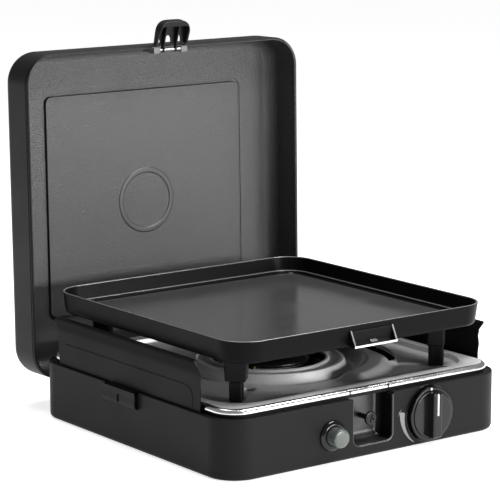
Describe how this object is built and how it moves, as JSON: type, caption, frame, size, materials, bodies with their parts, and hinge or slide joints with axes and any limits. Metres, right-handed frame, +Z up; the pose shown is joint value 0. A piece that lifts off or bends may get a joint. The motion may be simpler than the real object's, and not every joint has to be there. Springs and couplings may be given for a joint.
{
  "type": "camping stove",
  "caption": "Single-burner suitcase gas camping stove with hinged lid, side windshields, pressed hob and a lift-off griddle plate.",
  "frame": {"origin": "middle of the tray's flat underside, on the surface that the stove stands on", "axes": "+X to the right seen from the front, +Y to the back where the lid is hinged, +Z up"},
  "size_m": [0.3585, 0.3995, 0.3911],
  "materials": {
    "charcoal_paint": "satin charcoal powder coat",
    "lid_paint": "charcoal powder coat with a fine grain",
    "black_paint": "satin black heat-proof paint",
    "stainless": "brushed pressed stainless steel with a polished rim",
    "enamel": "matt black enamel",
    "burner_metal": "die cast, unpolished",
    "plated_steel": "zinc plated",
    "brass": "turned",
    "copper": "drawn copper pipe",
    "ceramic": "glazed ceramic",
    "lead_rubber": "silicone insulation",
    "black_plastic": "fine-grained black moulding",
    "gloss_black": "gloss black moulding",
    "smoke_plastic": "translucent smoky green-grey",
    "white_mark": "white inlay",
    "boot_rubber": "heat-proof silicone",
    "nonstick": "die cast with a semi-gloss black non-stick coating",
    "cut_aluminium": "machined bare edges",
    "badge_print": "grey ring"
  },
  "bodies": {
    "base": {"tray": "charcoal_paint", "catch_pocket": "black_plastic", "catch_stud": "plated_steel", "hob_top": "stainless", "hob_hump": "stainless", "front_left_post": "black_paint", "front_right_post": "black_paint", "rear_left_post": "black_paint", "rear_right_post": "black_paint", "post_screws": "plated_steel", "burner_bowl": "enamel", "burner_head": "burner_metal", "burner_cap": "enamel", "burner_bracket": "plated_steel", "mixing_tube": "burner_metal", "jet": "brass", "jet_holder": "brass", "gas_valve": "brass", "valve_bracket": "plated_steel", "safety_magnet": "brass", "feed_pipe": "copper", "inlet_pipe": "copper", "gas_inlet": "brass", "inlet_nut": "brass", "spark_electrode": "ceramic", "electrode_lead": "lead_rubber", "thermocouple": "brass", "thermocouple_lead": "copper", "igniter_body": "black_plastic", "igniter_bezel": "black_plastic", "dial": "gloss_black", "left_wing_clip": "charcoal_paint", "right_wing_clip": "charcoal_paint", "left_hinge_bracket": "plated_steel", "right_hinge_bracket": "plated_steel", "left_hinge_pin": "plated_steel", "right_hinge_pin": "plated_steel"},
    "lid": {"lid": "lid_paint", "lid_badge": "badge_print", "left_hinge_arm": "plated_steel", "right_hinge_arm": "plated_steel", "hinge_rivets": "plated_steel", "latch_bracket": "plated_steel", "latch_pin": "plated_steel"},
    "latch": {"latch_clip": "black_plastic"},
    "left_shield": {"left_windshield": "black_paint"},
    "right_shield": {"right_windshield": "black_paint"},
    "griddle": {"griddle_plate": "nonstick", "front_left_foot": "boot_rubber", "front_right_foot": "boot_rubber", "rear_left_foot": "boot_rubber", "rear_right_foot": "boot_rubber", "grip_socket": "cut_aluminium"},
    "plunger": {"valve_plunger": "plated_steel"},
    "knob": {"knob": "gloss_black", "knob_pointer": "white_mark", "valve_stem": "brass"},
    "button": {"igniter_button": "smoke_plastic"}
  },
  "joints": [
    {"name": "lid_hinge", "type": "hinge", "parent": "base", "child": "lid", "pos_m": [0, 0.1557, 0.0449], "axis": [1, 0, 0], "range_deg": [0, 37]},
    {"name": "latch_hinge", "type": "hinge", "parent": "lid", "child": "latch", "pos_m": [0.0025, 0.17255, 0.35957], "axis": [1, 0, 0], "range_deg": [0, 82]},
    {"name": "left_shield_lift", "type": "slide", "parent": "base", "child": "left_shield", "axis": [0, 0, 1], "range_m": [0, 0.016]},
    {"name": "right_shield_lift", "type": "slide", "parent": "base", "child": "right_shield", "axis": [0, 0, 1], "range_m": [0, 0.016]},
    {"name": "griddle_lift", "type": "slide", "parent": "base", "child": "griddle", "axis": [0, 0, 1], "range_m": [0, 0.008]},
    {"name": "knob_push", "type": "slide", "parent": "base", "child": "plunger", "axis": [0, 1, 0], "range_m": [0, 0.0025], "stiffness_N_per_m": 1500, "springref_m": -0.003},
    {"name": "knob_turn", "type": "hinge", "parent": "plunger", "child": "knob", "pos_m": [0.07, -0.163, 0.0305], "axis": [0, -1, 0], "range_deg": [0, 180]},
    {"name": "button_push", "type": "slide", "parent": "base", "child": "button", "axis": [0, 1, 0], "range_m": [0, 0.006], "stiffness_N_per_m": 900, "springref_m": -0.002}
  ]
}
